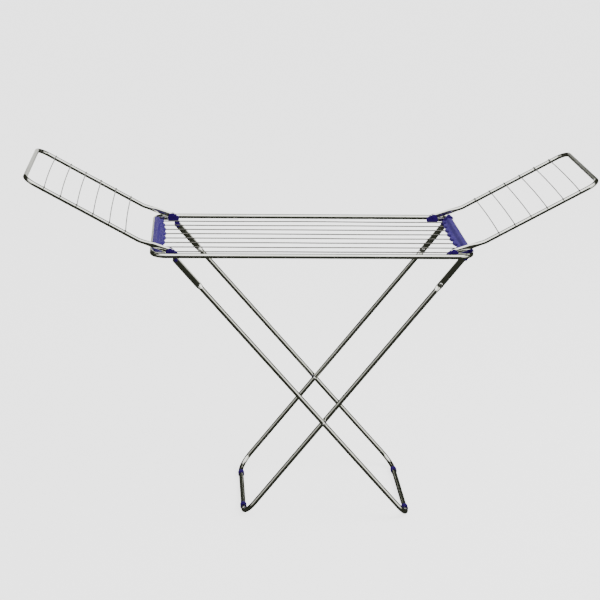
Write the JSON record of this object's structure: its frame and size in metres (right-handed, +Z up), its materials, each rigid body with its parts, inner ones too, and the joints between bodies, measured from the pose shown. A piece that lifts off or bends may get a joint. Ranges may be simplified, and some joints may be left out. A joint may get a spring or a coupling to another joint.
{
  "type": "clothes drying rack",
  "caption": "Folding clothes drying rack with a wire-strung steel frame, two hinged wings that lift up and out, crossed tube legs that fold flat, plastic combs and hinge brackets",
  "frame": {"origin": "on the floor, at the middle of the open rack", "axes": "+X along the rack towards its right wing, +Y across it towards the back, +Z up"},
  "size_m": [1.7908, 0.5652, 1.1331],
  "materials": {
    "tube": "bright plated steel tube, smooth and shiny",
    "wire": "bright plated wire, slightly duller than the tubes",
    "comb": "moulded purple-blue plastic, satin, fine lines along its length",
    "fitting": "moulded dark indigo plastic, satin",
    "rivet": "domed steel rivets at the leg crossings and the hooks"
  },
  "bodies": {
    "main_frame": {"side_tube_front": "tube", "side_tube_back": "tube", "end_bow_left": "tube", "end_bow_right": "tube", "comb_left": "comb", "comb_right": "comb", "main_wire_1": "wire", "main_wire_2": "wire", "main_wire_3": "wire", "main_wire_4": "wire", "main_wire_5": "wire", "main_wire_6": "wire", "main_wire_7": "wire", "main_wire_8": "wire", "hinge_arm_left_front": "tube", "hinge_arm_left_back": "tube", "hinge_arm_right_front": "tube", "hinge_arm_right_back": "tube", "hinge_bracket_left_front": "fitting", "hinge_bracket_left_back": "fitting", "hinge_bracket_right_front": "fitting", "hinge_bracket_right_back": "fitting", "wing_pin_left_front": "fitting", "wing_pin_left_back": "fitting", "wing_pin_right_front": "fitting", "wing_pin_right_back": "fitting", "leg_pin_front": "fitting", "leg_pin_back": "fitting"},
    "left_wing": {"wing_tube_left": "tube", "wing_wire_left_1": "wire", "wing_wire_left_2": "wire", "wing_wire_left_3": "wire", "wing_wire_left_4": "wire", "wing_wire_left_5": "wire", "wing_wire_left_6": "wire"},
    "right_wing": {"wing_tube_right": "tube", "wing_wire_right_1": "wire", "wing_wire_right_2": "wire", "wing_wire_right_3": "wire", "wing_wire_right_4": "wire", "wing_wire_right_5": "wire", "wing_wire_right_6": "wire"},
    "outer_leg": {"outer_leg_frame": "tube", "cross_rivet_front": "rivet", "cross_rivet_back": "rivet", "cross_washer_front": "fitting", "cross_washer_back": "fitting", "foot_ring_outer_front": "fitting", "foot_ring_outer_back": "fitting"},
    "inner_leg": {"inner_leg_frame": "tube", "leg_hook_front": "fitting", "leg_hook_back": "fitting", "hook_rivet_front": "rivet", "hook_rivet_back": "rivet", "foot_ring_inner_front": "fitting", "foot_ring_inner_back": "fitting"}
  },
  "joints": [
    {"name": "leg_fold", "type": "hinge", "parent": "main_frame", "child": "outer_leg", "pos_m": [-0.426, 0, 0.872], "axis": [0, -1, 0], "range_deg": [0, 48.79]},
    {"name": "inner_leg_fold", "type": "hinge", "parent": "outer_leg", "child": "inner_leg", "pos_m": [0.04741, 0, 0.33141], "axis": [0, -1, 0], "range_deg": [0, 78.24]},
    {"name": "left_wing_fold", "type": "hinge", "parent": "main_frame", "child": "left_wing", "pos_m": [-0.4415, 0, 0.901], "axis": [0, 1, 0], "range_deg": [0, 151]},
    {"name": "right_wing_fold", "type": "hinge", "parent": "main_frame", "child": "right_wing", "pos_m": [0.4415, 0, 0.901], "axis": [0, -1, 0], "range_deg": [0, 147.5]}
  ],
  "couplings": [
    {"joint": "inner_leg_fold", "follows": "leg_fold", "ratio": 1.6036}
  ]
}
